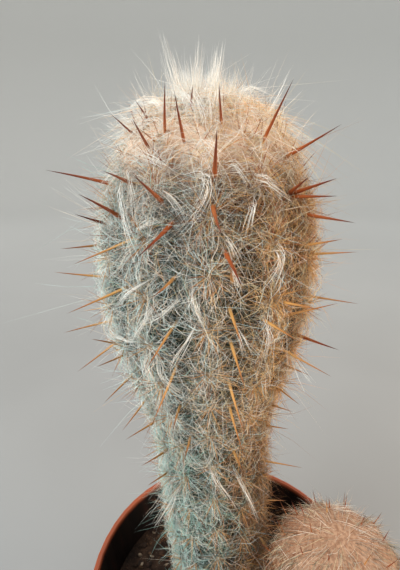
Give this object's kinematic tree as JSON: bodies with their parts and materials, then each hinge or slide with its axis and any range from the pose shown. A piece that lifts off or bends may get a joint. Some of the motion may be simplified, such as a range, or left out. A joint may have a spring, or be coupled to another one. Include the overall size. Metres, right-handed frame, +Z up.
{
  "type": "potted oreocereus",
  "caption": "Woolly, spiny columnar cactus with a club-shaped ribbed stem and a low side shoot, standing in soil in a round tapered pot.",
  "frame": {"origin": "centre of the pot's flat underside", "axes": "+Z up along the pot's axis, +X to the side where the shoot stands, +Y away from the side that is shown first"},
  "size_m": [0.1633, 0.15, 0.3871],
  "materials": {
    "pot": "satin",
    "soil": "matte",
    "main_stem": "matte",
    "side_shoot": "matte"
  },
  "bodies": {
    "root": {"pot": "pot", "soil": "soil", "main_stem": "main_stem", "side_shoot": "side_shoot"}
  },
  "joints": []
}
